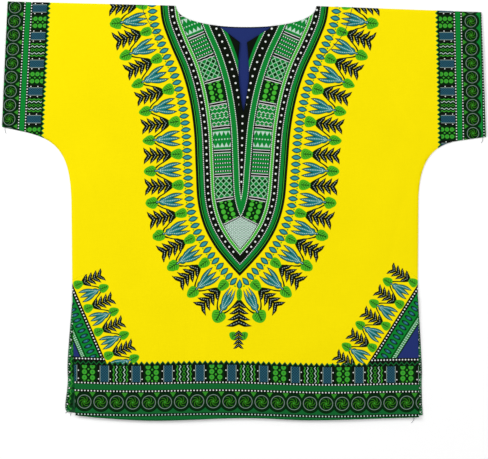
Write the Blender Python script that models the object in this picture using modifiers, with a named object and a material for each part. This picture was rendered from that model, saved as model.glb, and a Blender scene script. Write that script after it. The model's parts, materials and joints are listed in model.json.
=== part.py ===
"""A dashiki shirt laid flat on its back, front up: two panels and the back's turned-in vent hems.

Metres, +Z up. +Y runs towards the neck and +X to the right of someone looking down at the front.
"""

import math
from typing import NamedTuple

import bmesh
import bpy
from mathutils import Vector
from mathutils.geometry import interpolate_bezier

# Cloth
CLOTH = 0.0010
GAP = 0.0003
HEM_FOLD = 0.0010
GRID = 0.0225
SNAP = 0.15  # of the grid: an edge point this near a cut is used for it
EDGE_STEP = 0.0240
BACK_EDGE_STEP = 0.0400

# How far the front stands off the back
LOFT = 0.0011
LOFT_REACH = 0.090
RIPPLE = 0.00016
RIPPLE_ACROSS = 0.150
RIPPLE_ALONG = 0.190
VENT_LIFT_REACH = 0.055

# Neck
SCOOP_HALF_WIDTH = 0.1294
SCOOP_DEPTH = 0.0391
SCOOP_ROUNDNESS = 2.2
SCOOP_STEPS = 20
NOTCH_LEFT = (-0.0410, 0.3354)
NOTCH_RIGHT = (0.0460, 0.3349)
SLIT_TIP = (-0.0009, 0.1822)

# Hem and vents
BACK_HEM_RISE = 0.0030
VENT_HEM_WIDTH = 0.0130
VENT_HEM_INSET = 0.0006
LUMP_LENGTH = 0.0190
LUMP_WIDTH = 0.0110


class Side(NamedTuple):
    """One side of the laid shirt, left or right as seen from above."""

    neck: tuple
    cuff_top: tuple
    cuff_bottom: tuple
    underarm: tuple
    sleeve_pull: float
    flank: tuple
    flank_pull: float
    seam_end: tuple
    front_corner: tuple
    back_middle: tuple
    back_corner: tuple


LEFT = Side(
    neck=(-0.1255, 0.3774),
    cuff_top=(-0.4346, 0.3853),
    cuff_bottom=(-0.4450, 0.1546),
    underarm=(-0.4031, 0.1454),
    sleeve_pull=0.070,
    flank=(-0.3172, 0.0074),
    flank_pull=0.088,
    seam_end=(-0.3155, -0.1650),
    front_corner=(-0.3100, -0.3757),
    back_middle=(-0.3238, -0.2723),
    back_corner=(-0.3229, -0.3700),
)
RIGHT = Side(
    neck=(0.1332, 0.3768),
    cuff_top=(0.4366, 0.3654),
    cuff_bottom=(0.4450, 0.1362),
    underarm=(0.3952, 0.1292),
    sleeve_pull=0.052,
    flank=(0.3207, 0.0160),
    flank_pull=0.072,
    seam_end=(0.3196, -0.1550),
    front_corner=(0.3218, -0.3795),
    back_middle=(0.3264, -0.2784),
    back_corner=(0.3279, -0.3757),
)


class SlitRow(NamedTuple):
    """Where the two edges of the front slit stand at one height."""

    y: float
    left: float
    right: float


SLIT = (
    SlitRow(y=0.3100, left=-0.0075, right=0.0055),
    SlitRow(y=0.2778, left=-0.0101, right=0.0083),
    SlitRow(y=0.2502, left=-0.0101, right=0.0092),
    SlitRow(y=0.2226, left=-0.0074, right=0.0064),
    SlitRow(y=0.1950, left=-0.0037, right=0.0018),
)

# The hem hangs in a slight wave between the two front corners, left to right
HEM = ((-0.2714, -0.3800), (-0.1627, -0.3857), (0.0, -0.3809), (0.1233, -0.3849), (0.2576, -0.3814))


class Fold(NamedTuple):
    """A soft ridge in the front, from one end to the other, with its half-width and height."""

    start: tuple
    end: tuple
    half_width: float
    height: float


FOLDS = (
    Fold(start=(-0.230, -0.210), end=(-0.060, -0.285), half_width=0.040, height=0.0008),
    Fold(start=(0.040, -0.300), end=(0.220, -0.200), half_width=0.042, height=0.0009),
    Fold(start=(0.300, 0.080), end=(0.215, -0.120), half_width=0.040, height=0.0008),
    Fold(start=(-0.290, 0.070), end=(-0.215, -0.110), half_width=0.038, height=0.0007),
    Fold(start=(-0.350, 0.330), end=(-0.250, 0.150), half_width=0.040, height=0.0006),
    Fold(start=(0.370, 0.310), end=(0.255, 0.140), half_width=0.040, height=0.0007),
    Fold(start=(-0.250, -0.330), end=(-0.090, -0.345), half_width=0.030, height=0.0005),
    Fold(start=(0.130, -0.345), end=(0.290, -0.320), half_width=0.030, height=0.0006),
)

YELLOW = (0.93, 0.78, 0.01)
PRINT_GREEN = (0.03, 0.20, 0.06)


def smooth(amount):
    """0 below 0, 1 above 1, and a soft step between."""
    t = min(max(amount, 0.0), 1.0)
    return t * t * (3 - 2 * t)


def through(points, steps=5):
    """A smooth line through all the points, by Catmull-Rom."""
    ends = [points[0], *points, points[-1]]
    line = []
    for before, here, there, after in zip(ends, ends[1:], ends[2:], ends[3:]):
        for step in range(steps):
            t = step / steps
            line.append(tuple(
                0.5 * (2 * b + (c - a) * t + (2 * a - 5 * b + 4 * c - d) * t ** 2
                       + (3 * b - a - 3 * c + d) * t ** 3)
                for a, b, c, d in zip(before, here, there, after)
            ))
    line.append(tuple(points[-1]))
    return line


def spaced(points, step):
    """The same line with its long stretches cut to at most one step."""
    line = []
    for a, b in zip(points, points[1:]):
        count = max(1, math.ceil(math.dist(a, b) / step))
        for i in range(count):
            line.append((a[0] + (b[0] - a[0]) * i / count, a[1] + (b[1] - a[1]) * i / count))
    line.append(tuple(points[-1]))
    return line


def scoop():
    """The neck's edge from the left neck point to the right one, a flattened round."""
    centre = (LEFT.neck[0] + RIGHT.neck[0]) / 2
    power = 2 / SCOOP_ROUNDNESS
    line = []
    for i in range(SCOOP_STEPS + 1):
        angle = math.pi * (1 - i / SCOOP_STEPS)
        across = math.copysign(abs(math.cos(angle)) ** power, math.cos(angle))
        down = abs(math.sin(angle)) ** power
        top = LEFT.neck[1] + (RIGHT.neck[1] - LEFT.neck[1]) * i / SCOOP_STEPS
        line.append((centre + SCOOP_HALF_WIDTH * across, top - SCOOP_DEPTH * down))
    return line


def notched_scoop():
    """The front's neck edge: the scoop, the notch and the slit down the middle."""
    edge = scoop()
    before = [p for p in edge if p[0] < NOTCH_LEFT[0] - 0.004]
    after = [p for p in edge if p[0] > NOTCH_RIGHT[0] + 0.004]
    down = through([(row.left, row.y) for row in SLIT] + [SLIT_TIP], 2)
    up = through([SLIT_TIP] + [(row.right, row.y) for row in reversed(SLIT)], 2)
    return before + [NOTCH_LEFT] + down + up[1:] + [NOTCH_RIGHT] + after


def seam(side):
    """The sewn edge under the sleeve and down the flank, from the cuff to the top of the vent."""
    cuff, arm, flank = Vector(side.cuff_bottom), Vector(side.underarm), Vector(side.flank)
    arm_handle = arm + (arm - cuff).normalized() * side.sleeve_pull
    flank_handle = flank + (flank - Vector(side.seam_end)).normalized() * side.flank_pull
    bend = interpolate_bezier(arm, arm_handle, flank_handle, flank, 9)
    return [side.cuff_bottom, *(tuple(p) for p in bend), side.seam_end]


def hem(left, right, rise=0.0):
    """The bottom edge, right to left, between two corners."""
    return [right] + [(x, y + rise) for x, y in reversed(through(list(HEM), 3))] + [left]


def front_outline(step):
    """The front's edge, from the left neck point clockwise."""
    shoulder = [RIGHT.neck, RIGHT.cuff_top]
    right = [RIGHT.cuff_top, *seam(RIGHT), RIGHT.front_corner]
    left = [LEFT.front_corner, *reversed(seam(LEFT)), LEFT.cuff_top]
    line = spaced(notched_scoop(), step)[:-1] + spaced(shoulder, step)[:-1] + spaced(right, step)[:-1]
    line += spaced(hem(LEFT.front_corner, RIGHT.front_corner), step)[:-1]
    return line + spaced(left, step)[:-1] + spaced([LEFT.cuff_top, LEFT.neck], step)[:-1]


def vent_edge(side):
    """The back's own edge beside the vent, from the seam's end down to the hem's corner."""
    outward = math.copysign(1, side.back_corner[0])
    lump_at = side.back_corner[1] + LUMP_LENGTH / 2
    middle_low = (side.back_middle[0], (side.back_middle[1] + lump_at) / 2)
    points = [side.seam_end, side.back_middle, middle_low]
    if side is LEFT:
        points.append((side.back_corner[0] + outward * LUMP_WIDTH / 2, lump_at))
    return through(points + [side.back_corner], 4)


def back_outline(step):
    """The back's edge: the front's sleeves and flanks, a whole scoop, and vents that stand out."""
    line = spaced(scoop(), step)[:-1] + spaced([RIGHT.neck, RIGHT.cuff_top], step)[:-1]
    line += spaced([RIGHT.cuff_top, *seam(RIGHT)], step)[:-1] + vent_edge(RIGHT)[:-1]
    line += spaced(hem(LEFT.back_corner, RIGHT.back_corner, BACK_HEM_RISE), step)[:-1]
    line += vent_edge(LEFT)[:0:-1] + spaced([*reversed(seam(LEFT)), LEFT.cuff_top], step)[:-1]
    return line + spaced([LEFT.cuff_top, LEFT.neck], step)[:-1]


def distance_to(point, line):
    """How far a point is from a line of points."""
    best = math.inf
    for (ax, ay), (bx, by) in zip(line, line[1:]):
        length2 = (bx - ax) ** 2 + (by - ay) ** 2
        along = ((point[0] - ax) * (bx - ax) + (point[1] - ay) * (by - ay)) / max(length2, 1e-12)
        t = min(max(along, 0.0), 1.0)
        best = min(best, math.hypot(point[0] - ax - t * (bx - ax), point[1] - ay - t * (by - ay)))
    return best


def seam_lines():
    """The edges where front and back are sewn together: shoulders, underarms and flanks."""
    return [[side.neck, side.cuff_top] for side in (LEFT, RIGHT)] + [seam(side) for side in (LEFT, RIGHT)]


def ripple(point):
    """A faint unevenness all over, which keeps the cloth from being flat anywhere."""
    across = 2 * math.pi * point[0] / RIPPLE_ACROSS
    along = 2 * math.pi * point[1] / RIPPLE_ALONG
    return RIPPLE * (math.sin(across + math.sin(along)) + math.sin(along * 1.3 + math.sin(across * 0.7)))


def front_height(point, seams):
    """Underside of the front above the back's upper face."""
    off_seam = min(distance_to(point, line) for line in seams)
    loft = LOFT + ripple(point)
    for fold in FOLDS:
        across = distance_to(point, [fold.start, fold.end]) / fold.half_width
        loft += fold.height * smooth(1 - across)
    loft *= smooth(off_seam / LOFT_REACH)
    over_vent_hems = (HEM_FOLD + GAP) * smooth((LEFT.seam_end[1] + VENT_LIFT_REACH - point[1]) / VENT_LIFT_REACH)
    return GAP + loft + over_vent_hems


def material(name, colour, roughness):
    """Printed cotton in its main colour."""
    made = bpy.data.materials.new(name)
    made.use_nodes = True
    shader = made.node_tree.nodes["Principled BSDF"]
    shader.inputs["Base Color"].default_value = (*colour, 1.0)
    shader.inputs["Roughness"].default_value = roughness
    shader.inputs["Metallic"].default_value = 0.0
    return made


def flat_sheet(outline, grid):
    """The outline as one face, cut along a square grid where a grid is given."""
    sheet = bmesh.new()
    sheet.faces.new([sheet.verts.new((x, y, 0.0)) for x, y in reversed(outline)])
    for axis in range(2) if grid else ():
        low, high = min(p[axis] for p in outline), max(p[axis] for p in outline)
        cuts = math.ceil((high - low) / grid)
        for i in range(1, cuts):
            place, normal = [0.0, 0.0, 0.0], [0.0, 0.0, 0.0]
            place[axis] = low + (high - low) * i / cuts
            normal[axis] = 1.0
            whole = sheet.verts[:] + sheet.edges[:] + sheet.faces[:]
            bmesh.ops.bisect_plane(sheet, geom=whole, dist=grid * SNAP, plane_co=place, plane_no=normal)
    bmesh.ops.triangulate(sheet, faces=sheet.faces[:])
    return sheet


def cloth(name, outline, grid, height, thickness, finish, collection):
    """A sheet of cloth over an outline: its underside follows height, and Solidify adds the wall."""
    sheet = flat_sheet(outline, grid)
    for vertex in sheet.verts:
        vertex.co.z = height(vertex.co)
    mesh = bpy.data.meshes.new(name)
    sheet.to_mesh(mesh)
    sheet.free()
    mesh.materials.append(finish)
    made = bpy.data.objects.new(name, mesh)
    collection.objects.link(made)
    wall = made.modifiers.new("wall", "SOLIDIFY")
    wall.thickness = thickness
    wall.offset = 1.0
    mesh.shade_smooth()
    mesh.set_sharp_from_angle(angle=math.radians(40))
    return made


def vent_hem_outline(side):
    """A turned-in hem beside the vent, made from the back's own edge and moved in by its width."""
    inward = -math.copysign(1, side.back_corner[0])
    edge = [p for p in vent_edge(side) if p[1] < side.seam_end[1] - VENT_HEM_WIDTH / 2]
    outer = [(x + inward * VENT_HEM_INSET, y) for x, y in edge[:-1]]
    outer.append((edge[-1][0] + inward * VENT_HEM_INSET, edge[-1][1] + VENT_HEM_INSET))
    straight = side.back_middle[0] + inward * VENT_HEM_WIDTH
    inner = [(straight, outer[0][1]), (straight, outer[-1][1])]
    return outer + inner[::-1] if side is RIGHT else inner + outer[::-1]


def build():
    """All four pieces, in one collection, centred on the floor's origin."""
    for old in list(bpy.data.objects):
        bpy.data.objects.remove(old, do_unlink=True)
    shirt = bpy.data.collections.new("dashiki_shirt")
    bpy.context.scene.collection.children.link(shirt)
    field = material("yellow_field", YELLOW, 0.8)
    border = material("green_border", PRINT_GREEN, 0.8)

    seams = seam_lines()
    cloth("back_panel", back_outline(BACK_EDGE_STEP), None, lambda p: 0.0, CLOTH, field, shirt)
    cloth(
        "front_panel", front_outline(EDGE_STEP), GRID, lambda p: CLOTH + front_height(p, seams),
        CLOTH, field, shirt,
    )
    for side, word in ((LEFT, "left"), (RIGHT, "right")):
        cloth(
            f"back_vent_hem_{word}", vent_hem_outline(side), None, lambda p: CLOTH + GAP,
            HEM_FOLD, border, shirt,
        )

    xs = [v.co.x for o in shirt.objects for v in o.data.vertices]
    ys = [v.co.y for o in shirt.objects for v in o.data.vertices]
    middle = Vector(((min(xs) + max(xs)) / 2, (min(ys) + max(ys)) / 2, 0.0))
    for piece in shirt.objects:
        for vertex in piece.data.vertices:
            vertex.co -= middle


build()
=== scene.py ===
"""The looks of a dashiki shirt laid flat, front up: printed cotton panels, turned hems and stitching.

Metres, +Z up, +Y towards the neck. The print's sizes are in millimetres, as its shaders count them.
"""

import functools
import json
import math
from typing import NamedTuple

import bmesh
import bpy
import numpy as np
from bpy.props import FloatProperty, FloatVectorProperty, PointerProperty
from mathutils import Matrix, Vector
from mathutils.geometry import interpolate_bezier

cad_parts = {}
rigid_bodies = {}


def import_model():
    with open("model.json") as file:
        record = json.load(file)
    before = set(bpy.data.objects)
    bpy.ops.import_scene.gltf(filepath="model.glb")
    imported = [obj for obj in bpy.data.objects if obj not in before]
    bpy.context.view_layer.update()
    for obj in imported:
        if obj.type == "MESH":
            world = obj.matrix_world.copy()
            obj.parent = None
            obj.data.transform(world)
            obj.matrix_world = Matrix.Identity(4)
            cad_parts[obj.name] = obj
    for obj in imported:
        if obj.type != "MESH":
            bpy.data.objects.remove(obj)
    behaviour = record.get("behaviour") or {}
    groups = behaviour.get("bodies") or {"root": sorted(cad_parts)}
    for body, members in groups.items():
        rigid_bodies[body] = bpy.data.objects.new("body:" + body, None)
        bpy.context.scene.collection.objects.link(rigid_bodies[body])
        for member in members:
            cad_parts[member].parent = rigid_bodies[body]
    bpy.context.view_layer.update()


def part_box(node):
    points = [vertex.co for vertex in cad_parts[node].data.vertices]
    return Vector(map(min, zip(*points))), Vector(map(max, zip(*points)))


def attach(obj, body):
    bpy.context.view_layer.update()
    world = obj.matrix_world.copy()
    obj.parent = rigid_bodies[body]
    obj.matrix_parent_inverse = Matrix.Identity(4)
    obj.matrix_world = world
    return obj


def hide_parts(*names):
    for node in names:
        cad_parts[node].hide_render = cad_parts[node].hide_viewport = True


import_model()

bl_info = {
    "name": "Dashiki shirt",
    "version": (1, 0, 0),
    "blender": (4, 5, 0),
    "location": "View3D > Sidebar > Dashiki",
    "description": "Builds the printed cotton, the hems and the stitching of a dashiki laid flat",
    "category": "Object",
}

BODY = "root"


# The shirt's outline, as its solids have it

SCOOP_HALF_WIDTH = 0.1294
SCOOP_DEPTH = 0.0391
SCOOP_ROUNDNESS = 2.2
SCOOP_STEPS = 72
CURVE_STEPS = 6
LONG_CURVE_STEPS = 12
UNDERARM_STEPS = 40
NOTCH_LEFT = (-0.0410, 0.3354)
NOTCH_RIGHT = (0.0460, 0.3349)
NOTCH_REACH = 0.004
SLIT_TIP = (-0.0009, 0.1822)
BACK_HEM_RISE = 0.0030
LUMP_LENGTH = 0.0190
LUMP_WIDTH = 0.0110


class Side(NamedTuple):
    """One side of the laid shirt, left or right as seen from above."""

    neck: tuple
    cuff_top: tuple
    cuff_bottom: tuple
    underarm: tuple
    sleeve_pull: float
    flank: tuple
    flank_pull: float
    seam_end: tuple
    front_corner: tuple
    back_middle: tuple
    back_corner: tuple


LEFT = Side(
    neck=(-0.1255, 0.3774),
    cuff_top=(-0.4346, 0.3853),
    cuff_bottom=(-0.4450, 0.1546),
    underarm=(-0.4031, 0.1454),
    sleeve_pull=0.070,
    flank=(-0.3172, 0.0074),
    flank_pull=0.088,
    seam_end=(-0.3155, -0.1650),
    front_corner=(-0.3100, -0.3757),
    back_middle=(-0.3238, -0.2723),
    back_corner=(-0.3229, -0.3700),
)
RIGHT = Side(
    neck=(0.1332, 0.3768),
    cuff_top=(0.4366, 0.3654),
    cuff_bottom=(0.4450, 0.1362),
    underarm=(0.3952, 0.1292),
    sleeve_pull=0.052,
    flank=(0.3207, 0.0160),
    flank_pull=0.072,
    seam_end=(0.3196, -0.1550),
    front_corner=(0.3218, -0.3795),
    back_middle=(0.3264, -0.2784),
    back_corner=(0.3279, -0.3757),
)


class SlitRow(NamedTuple):
    """Where the two edges of the front slit stand at one height."""

    y: float
    left: float
    right: float


SLIT = (
    SlitRow(0.3100, -0.0075, 0.0055),
    SlitRow(0.2778, -0.0101, 0.0083),
    SlitRow(0.2502, -0.0101, 0.0092),
    SlitRow(0.2226, -0.0074, 0.0064),
    SlitRow(0.1950, -0.0037, 0.0018),
)

# The hem's slight wave between the two front corners, left to right
HEM = ((-0.2714, -0.3800), (-0.1627, -0.3857), (0.0, -0.3809), (0.1233, -0.3849), (0.2576, -0.3814))


def through(points, steps):
    """A smooth line through all the points, by Catmull-Rom."""
    ends = [points[0], *points, points[-1]]
    line = []
    for before, here, there, after in zip(ends, ends[1:], ends[2:], ends[3:]):
        for step in range(steps):
            t = step / steps
            line.append(tuple(
                0.5 * (2 * b + (c - a) * t + (2 * a - 5 * b + 4 * c - d) * t ** 2
                       + (3 * b - a - 3 * c + d) * t ** 3)
                for a, b, c, d in zip(before, here, there, after)
            ))
    line.append(tuple(points[-1]))
    return line


def spaced(points, step):
    """The same line with its long stretches cut to at most one step."""
    line = []
    for a, b in zip(points, points[1:]):
        count = max(1, math.ceil(math.dist(a, b) / step))
        for i in range(count):
            line.append((a[0] + (b[0] - a[0]) * i / count, a[1] + (b[1] - a[1]) * i / count))
    line.append(tuple(points[-1]))
    return line


def scoop():
    """The neck's edge from the left neck point to the right one, a flattened round."""
    centre = (LEFT.neck[0] + RIGHT.neck[0]) / 2
    power = 2 / SCOOP_ROUNDNESS
    line = []
    for i in range(SCOOP_STEPS + 1):
        angle = math.pi * (1 - i / SCOOP_STEPS)
        across = math.copysign(abs(math.cos(angle)) ** power, math.cos(angle))
        down = abs(math.sin(angle)) ** power
        top = LEFT.neck[1] + (RIGHT.neck[1] - LEFT.neck[1]) * i / SCOOP_STEPS
        line.append((centre + SCOOP_HALF_WIDTH * across, top - SCOOP_DEPTH * down))
    return line


def notched_scoop():
    """The front's neck edge: the scoop, the notch and the slit down the middle."""
    edge = scoop()
    before = [p for p in edge if p[0] < NOTCH_LEFT[0] - NOTCH_REACH]
    after = [p for p in edge if p[0] > NOTCH_RIGHT[0] + NOTCH_REACH]
    down = through([(row.left, row.y) for row in SLIT] + [SLIT_TIP], CURVE_STEPS)
    up = through([SLIT_TIP] + [(row.right, row.y) for row in reversed(SLIT)], CURVE_STEPS)
    return before + [NOTCH_LEFT] + down + up[1:] + [NOTCH_RIGHT] + after


def seam(side):
    """The sewn edge under the sleeve and down the flank, from the cuff to the top of the vent."""
    cuff, arm, flank = Vector(side.cuff_bottom), Vector(side.underarm), Vector(side.flank)
    arm_handle = arm + (arm - cuff).normalized() * side.sleeve_pull
    flank_handle = flank + (flank - Vector(side.seam_end)).normalized() * side.flank_pull
    bend = interpolate_bezier(arm, arm_handle, flank_handle, flank, UNDERARM_STEPS)
    return [side.cuff_bottom, *(tuple(p) for p in bend), side.seam_end]


def hem(left, right, rise=0.0):
    """The bottom edge, right to left, between two corners."""
    return [right] + [(x, y + rise) for x, y in reversed(through(HEM, LONG_CURVE_STEPS))] + [left]


def vent_edge(side):
    """The back's own edge beside the vent, from the seam's end down to the hem's corner."""
    outward = math.copysign(1, side.back_corner[0])
    lump_at = side.back_corner[1] + LUMP_LENGTH / 2
    middle_low = (side.back_middle[0], (side.back_middle[1] + lump_at) / 2)
    points = [side.seam_end, side.back_middle, middle_low]
    if side is LEFT:
        points.append((side.back_corner[0] + outward * LUMP_WIDTH / 2, lump_at))
    return through(points + [side.back_corner], LONG_CURVE_STEPS)


def closed_line(step, *stretches):
    """One closed line through several stretches, cut to at most one step."""
    return [p for line in stretches for p in spaced(line, step)[:-1]]


def front_outline(step):
    """The front's edge, from the left neck point clockwise."""
    right = [RIGHT.cuff_top, *seam(RIGHT), RIGHT.front_corner]
    left = [LEFT.front_corner, *reversed(seam(LEFT)), LEFT.cuff_top]
    bottom = hem(LEFT.front_corner, RIGHT.front_corner)
    return closed_line(step, notched_scoop(), [RIGHT.neck, RIGHT.cuff_top], right, bottom, left,
                       [LEFT.cuff_top, LEFT.neck])


def back_outline(step):
    """The back's edge: the front's sleeves and flanks, a whole scoop, and vents that stand out."""
    return closed_line(
        step, scoop(), [RIGHT.neck, RIGHT.cuff_top], [RIGHT.cuff_top, *seam(RIGHT)], vent_edge(RIGHT),
        hem(LEFT.back_corner, RIGHT.back_corner, BACK_HEM_RISE), vent_edge(LEFT)[::-1],
        [*reversed(seam(LEFT)), LEFT.cuff_top], [LEFT.cuff_top, LEFT.neck])


def settle():
    """How far the outline moves so that the whole shirt is centred on the floor's origin."""
    low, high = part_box("front_panel")
    edge = np.array(front_outline(step=1.0))
    return Vector(((low.x + high.x - edge[:, 0].min() - edge[:, 0].max()) / 2,
                   (low.y + high.y - edge[:, 1].min() - edge[:, 1].max()) / 2, 0.0))


# How high the front's upper face lies

FLOOR_GAP = 0.00002
LAYER_GAP = 0.0003
LOFT = 0.0011
LOFT_REACH = 0.090
RIPPLE = 0.00016
RIPPLE_ACROSS = 0.150
RIPPLE_ALONG = 0.190
RIPPLE_CROSSED = (1.3, 0.7)
HEM_FOLD = 0.0010
VENT_LIFT_REACH = 0.055
CUFF_TURN = 0.0125
VENT_TURN = 0.0090
SEAM_DIP = 0.0013
SEAM_DIP_REACH = 0.0045
TURNED_EDGE = 0.00032
TURNED_SOFT = 0.0012
EDGE_ROUND = 0.00035
EDGE_ROUND_REACH = 0.0022


class Fold(NamedTuple):
    """A soft ridge, or a trough where its height is negative, from one end to the other."""

    start: tuple
    end: tuple
    half_width: float
    height: float


FOLDS = (
    Fold((-0.230, -0.210), (-0.060, -0.285), 0.040, 0.0008),
    Fold((0.040, -0.300), (0.220, -0.200), 0.042, 0.0009),
    Fold((0.300, 0.080), (0.215, -0.120), 0.040, 0.0008),
    Fold((-0.290, 0.070), (-0.215, -0.110), 0.038, 0.0007),
    Fold((-0.350, 0.330), (-0.250, 0.150), 0.040, 0.0006),
    Fold((0.370, 0.310), (0.255, 0.140), 0.040, 0.0007),
    Fold((-0.250, -0.330), (-0.090, -0.345), 0.030, 0.0005),
    Fold((0.130, -0.345), (0.290, -0.320), 0.030, 0.0006),
)

# Narrow creases that the photo shows on the yellow ground, and a few like them elsewhere
CREASES = (
    Fold((0.276, 0.226), (0.322, 0.140), 0.011, 0.00055),
    Fold((0.292, 0.262), (0.338, 0.196), 0.009, -0.00035),
    Fold((-0.100, -0.140), (-0.104, -0.275), 0.010, -0.00040),
    Fold((-0.066, -0.205), (-0.072, -0.280), 0.009, 0.00030),
    Fold((0.150, -0.190), (0.236, -0.268), 0.012, 0.00040),
    Fold((-0.302, 0.110), (-0.262, -0.020), 0.012, 0.00035),
    Fold((0.292, 0.020), (0.262, -0.120), 0.011, -0.00035),
    Fold((-0.210, -0.160), (-0.160, -0.262), 0.012, 0.00030),
    Fold((-0.346, 0.300), (-0.322, 0.214), 0.010, 0.00030),
    Fold((0.064, -0.330), (0.110, -0.372), 0.009, 0.00030),
    Fold((-0.150, -0.320), (-0.120, -0.370), 0.009, 0.00030),
)
BACK_CREASES = (
    Fold((-0.260, 0.250), (-0.120, 0.060), 0.030, 0.00038),
    Fold((0.240, 0.280), (0.100, 0.030), 0.028, 0.00040),
    Fold((-0.240, -0.080), (-0.060, -0.230), 0.026, 0.00036),
    Fold((0.260, -0.060), (0.120, -0.260), 0.030, 0.00040),
    Fold((-0.020, 0.160), (0.020, -0.120), 0.022, 0.00034),
    Fold((-0.280, -0.250), (-0.150, -0.330), 0.020, 0.00030),
    Fold((0.330, 0.330), (0.300, 0.170), 0.020, 0.00034),
)


def smooth(amount):
    """0 below 0, 1 above 1, and a soft step between."""
    t = np.clip(amount, 0.0, 1.0)
    return t * t * (3 - 2 * t)


def nearest(points, line):
    """For each point its distance to the line, how far along the line that is, and the side vector."""
    line = np.asarray(line, float)
    a, step = line[:-1], np.diff(line, axis=0)
    length = np.linalg.norm(step, axis=1)
    run = np.concatenate([[0.0], np.cumsum(length)])
    best = np.full(len(points), np.inf)
    along = np.zeros(len(points))
    aside = np.zeros((len(points), 2))
    for i in range(len(a)):
        t = np.clip(((points - a[i]) @ step[i]) / max(length[i] ** 2, 1e-14), 0.0, 1.0)
        offset = points - a[i] - t[:, None] * step[i]
        distance = np.linalg.norm(offset, axis=1)
        closer = distance < best
        best[closer] = distance[closer]
        along[closer] = run[i] + t[closer] * length[i]
        aside[closer] = offset[closer]
    return best, along, aside


def seam_lines():
    """The edges where front and back are sewn together: shoulders, underarms and flanks."""
    return [[side.neck, side.cuff_top] for side in (LEFT, RIGHT)] + [seam(side) for side in (LEFT, RIGHT)]


def turned_lines():
    """The open edges with a turned hem or facing, each with how wide it is turned."""
    cuffs = [([side.cuff_top, side.cuff_bottom], CUFF_TURN) for side in (LEFT, RIGHT)]
    vents = [([side.seam_end, side.front_corner], VENT_TURN) for side in (LEFT, RIGHT)]
    return cuffs + vents + [(hem(LEFT.front_corner, RIGHT.front_corner), CUFF_TURN)]


def off_all(points, lines):
    """The distance from each point to the nearest of several lines."""
    return np.min([nearest(points, line)[0] for line in lines], axis=0)


def relief(points, folds):
    """How much several folds raise each point."""
    return sum(fold.height * smooth(1 - nearest(points, [fold.start, fold.end])[0] / fold.half_width)
               for fold in folds)


def front_top(points):
    """The height of the front's upper face over each point."""
    x, y = points[:, 0], points[:, 1]
    off_seam = off_all(points, seam_lines())
    across, along = 2 * np.pi * x / RIPPLE_ACROSS, 2 * np.pi * y / RIPPLE_ALONG
    long, cross = RIPPLE_CROSSED
    wave = np.sin(across + np.sin(along)) + np.sin(along * long + np.sin(across * cross))
    loft = (LOFT + RIPPLE * wave + relief(points, FOLDS)) * smooth(off_seam / LOFT_REACH)
    lift = (HEM_FOLD + LAYER_GAP) * smooth((LEFT.seam_end[1] + VENT_LIFT_REACH - y) / VENT_LIFT_REACH)
    top = 2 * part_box("back_panel")[1].z + LAYER_GAP + loft + lift + relief(points, CREASES)
    for line, width in turned_lines():
        top += TURNED_EDGE * smooth((width - nearest(points, line)[0]) / TURNED_SOFT)
    off_edge = off_all(points, [line for line, _ in turned_lines()] + [notched_scoop()])
    top -= EDGE_ROUND * (1 - smooth(off_edge / EDGE_ROUND_REACH)) ** 2
    return top - SEAM_DIP * (1 - smooth(off_seam / SEAM_DIP_REACH)) ** 2


def back_underside(points):
    """The height of the back's outer face, on the floor but for its creases."""
    return FLOOR_GAP + relief(points, BACK_CREASES)


# The sizes and colours that a user would change


def metres(name, description, default):
    """A length setting."""
    return FloatProperty(name=name, description=description, default=default, unit="LENGTH")


class ClothSizes(bpy.types.PropertyGroup):
    """Sizes of the cloth's meshes and the thread."""

    thickness: metres("Thickness", "How thick the cotton is", 0.00045)
    grid: metres("Mesh spacing", "Spacing of the panels' mesh", 0.0042)
    stitch_pitch: metres("Stitch pitch", "Distance between stitches", 0.0030)
    stitch_length: metres("Stitch length", "Length of one stitch", 0.0027)
    thread: metres("Thread", "Thickness of the sewing thread", 0.00055)
    # The facing's backstitch is drawn wider than its thread: its dark width is partly thread and partly
    # painted shade of the groove it sinks in.
    facing_thread_and_groove_shade: metres("Facing thread", "Width of the facing's thick backstitch", 0.0015)


def ink(name, description, colour):
    """A colour setting of the print."""
    return FloatVectorProperty(name=name, description=description, subtype="COLOR", size=3,
                               min=0.0, max=1.0, default=colour)


class PrintInks(bpy.types.PropertyGroup):
    """Colours of the print, the ground and the thread, in linear light."""

    ground: ink("Ground", "The yellow of the cloth", (0.90, 0.735, 0.0))
    black: ink("Black", "The print's black", (0.003, 0.0055, 0.0025))
    deep: ink("Deep green", "Darkest green of the borders", (0.0007, 0.018, 0.0025))
    green: ink("Green", "Solid green bands", (0.003, 0.205, 0.026))
    hem_green: ink("Hem green", "The hem's solid band", (0.005, 0.118, 0.024))
    bright: ink("Bright green", "Bright green bands", (0.055, 0.42, 0.030))
    leaf: ink("Leaf green", "Leaves on the ground", (0.070, 0.42, 0.010))
    teal: ink("Teal", "Petals and sprigs", (0.010, 0.160, 0.165))
    sky: ink("Light teal", "Lights in the petals", (0.040, 0.290, 0.330))
    blue: ink("Blue", "Inside of the neck and the lower corners", (0.016, 0.030, 0.150))
    bar: ink("Bar blue", "Blue bars of the borders", (0.018, 0.092, 0.140))
    mint: ink("Mint", "Palest green", (0.56, 0.74, 0.64))
    white: ink("White", "Dots and fine lines", (0.80, 0.84, 0.80))
    thread: ink("Thread", "Sewing thread", (0.012, 0.020, 0.030))


def settings():
    """The sizes and the inks as they stand in the sidebar."""
    return bpy.context.scene.dashiki_sizes, bpy.context.scene.dashiki_inks


# Shader and geometry nodes


def put(tree, socket, value):
    """A constant is set on the socket and anything else is linked to it."""
    if isinstance(value, Value):
        value = value.socket
    if isinstance(value, bpy.types.NodeSocket):
        tree.links.new(value, socket)
    elif socket.type == "RGBA":
        socket.default_value = (*value, 1.0)
    else:
        socket.default_value = value


def add_node(tree, kind, settings=None, inputs=None):
    """Any node: its settings first, then the values or links of its sockets."""
    made = tree.nodes.new(kind)
    for key, value in (settings or {}).items():
        setattr(made, key, value)
    for key, value in (inputs or {}).items():
        put(tree, made.inputs[key], value)
    return made


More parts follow.
